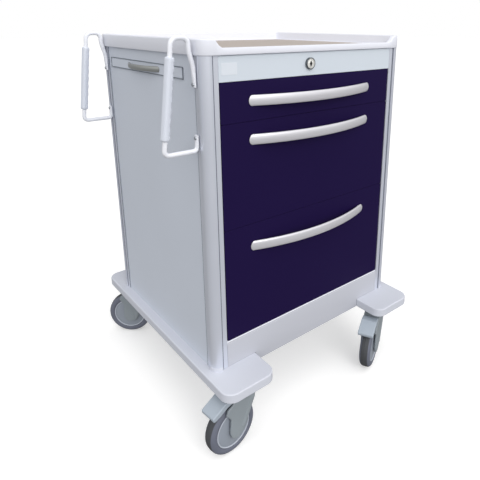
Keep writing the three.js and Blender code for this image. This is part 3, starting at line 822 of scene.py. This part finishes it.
def casters():
    fork, pedal, hub, tyre = fork_form(), pedal_form(), hub_form(), tyre_form()
    rim, tread = rim_form(), tread_form()
    for name, spot in CASTERS.items():
        place = caster_place(*spot)
        axle = place @ Matrix.Translation((TRAIL, 0, WHEEL_R))
        wheel = f"wheel_{name}"
        piece(f"fork_{name}_skin", fork.copy(), "fork", f"fork_{name}", [f"caster_fork_{name}"],
              place=place, angle=60)
        piece(f"hub_{name}_disc", hub.copy(), "hub", wheel, [f"caster_hub_{name}"], place=axle)
        # The raised ring's lighter colour is a painted highlight.
        piece(f"rim_{name}_ring", rim.copy(), "hub_ring_highlight", wheel, place=axle, angle=50)
        piece(f"tyre_{name}_wall", tyre.copy(), "tyre", wheel, [f"caster_tyre_{name}"],
              place=axle, angle=50)
        piece(f"tyre_{name}_tread", tread.copy(), "tread", wheel, place=axle, angle=50)
        tint(f"caster_stem_{name}", "zinc", 0.4)
        if name.startswith("front"):
            piece(f"pedal_{name}_block", pedal.copy(), "pedal", f"pedal_{name}",
                  [f"brake_pedal_{name}"], bevel=3.8, steps=5, place=place)
    for form in (fork, pedal, hub, tyre, rim, tread):
        form.free()


base_plate()
posts()
tray()
panels()
fascias()
drawers()
lock()
side_shelf()
push_handles()
casters()


# ---------------------------------------------------------------- floor, light, camera

# The light tent: its strength rises along TENT_SLOPE from TENT_LEVEL, and is TENT_BELOW under the horizon.
TENT_SLOPE, TENT_LEVEL, TENT_BELOW = (-0.22, -0.6, 0.12), 0.85, 0.3
HORIZON_BLUR = 0.05
FLOOR_GLOW, FLOOR_GLOW_COLOUR = 0.34, (1, 0.995, 0.985, 1)
# Lamp: place, size, power and colour.
LAMPS = {
    "key": ((-0.6, -3.8, 2.6), 2.0, 42, (1.0, 0.985, 0.965)),
    "top": ((-0.3, -0.6, 3.2), 2.2, 10, (1, 1, 1)),
}
LAMP_AIM = Vector((0, 0, 0.5))


def light_tent():
    """Soft light from all round, brightest in front and dim below; the background itself stays white."""
    world = bpy.context.scene.world or bpy.data.worlds.new("studio")
    bpy.context.scene.world = world
    world.use_nodes = True
    tree = world.node_tree
    new, link = tree.nodes.new, tree.links.new
    sky = tree.nodes["Background"]
    sky.inputs["Color"].default_value = (1.0, 1.0, 1.0, 1)
    aim = new("ShaderNodeTexCoord")
    front = new("ShaderNodeVectorMath")
    front.operation = "DOT_PRODUCT"
    front.inputs[1].default_value = TENT_SLOPE
    link(aim.outputs["Generated"], front.inputs[0])
    glow = new("ShaderNodeMath")
    glow.operation = "ADD"
    glow.inputs[1].default_value = TENT_LEVEL
    link(front.outputs["Value"], glow.inputs[0])
    split = new("ShaderNodeSeparateXYZ")
    link(aim.outputs["Generated"], split.inputs[0])
    upper = new("ShaderNodeMapRange")
    upper.inputs["From Min"].default_value = -HORIZON_BLUR
    upper.inputs["From Max"].default_value = HORIZON_BLUR
    link(split.outputs["Z"], upper.inputs["Value"])
    tent = new("ShaderNodeMix")
    tent.inputs["A"].default_value = TENT_BELOW
    link(upper.outputs["Result"], tent.inputs["Factor"])
    link(glow.outputs["Value"], tent.inputs["B"])
    rays = new("ShaderNodeLightPath")
    shown = new("ShaderNodeMix")
    shown.inputs["B"].default_value = 1.0
    link(rays.outputs["Is Camera Ray"], shown.inputs["Factor"])
    link(tent.outputs["Result"], shown.inputs["A"])
    link(shown.outputs["Result"], sky.inputs["Strength"])


def studio_floor():
    """A pale floor that glows a little and takes the shadow, but doesn't light the object from below."""
    bpy.ops.mesh.primitive_plane_add(size=60, location=(0, 0, 0))
    floor = bpy.context.object
    floor.name = "studio_floor"
    MAT["floor"] = surface("studio_floor", (235, 235, 235), 0.7, grain=(60, 0.01), mottle=(1, 0.0),
                           specular=0.0)
    paint = MAT["floor"].node_tree.nodes["Principled BSDF"]
    paint.inputs["Emission Color"].default_value = FLOOR_GLOW_COLOUR
    paint.inputs["Emission Strength"].default_value = FLOOR_GLOW
    floor.data.materials.append(MAT["floor"])
    floor.visible_diffuse = floor.visible_glossy = False


def lamps():
    for name, (spot, size, power, colour) in LAMPS.items():
        light = bpy.data.lights.new(name, "AREA")
        light.size = size
        light.energy = power
        light.color = colour
        obj = bpy.data.objects.new(name, light)
        obj.location = spot
        obj.rotation_mode = "QUATERNION"
        obj.rotation_quaternion = (Vector(spot) - LAMP_AIM).to_track_quat("Z", "Y")
        bpy.context.scene.collection.objects.link(obj)


def camera():
    """A camera in front of the left corner, looking down; its shift frames the object."""
    spot = Vector((-450.0, -763.1, 925.0)) * MM + ORIGIN
    yaw, pitch, roll = 0.7022, 0.2786, 0.0055  # radians
    ahead = Vector((math.sin(yaw) * math.cos(pitch), math.cos(yaw) * math.cos(pitch), -math.sin(pitch)))
    data = bpy.data.cameras.new("photo_angle")
    data.sensor_width = 36.0
    data.lens = 35.805
    data.shift_x, data.shift_y = -0.0945833, -0.1666667
    obj = bpy.data.objects.new("photo_angle", data)
    obj.location = spot
    obj.rotation_mode = "QUATERNION"
    obj.rotation_quaternion = (-ahead).to_track_quat("Z", "Y") @ Quaternion((0, 0, 1), roll)
    bpy.context.scene.collection.objects.link(obj)
    bpy.context.scene.camera = obj


light_tent()
bpy.context.scene.view_settings.view_transform = "Standard"
studio_floor()
lamps()
camera()
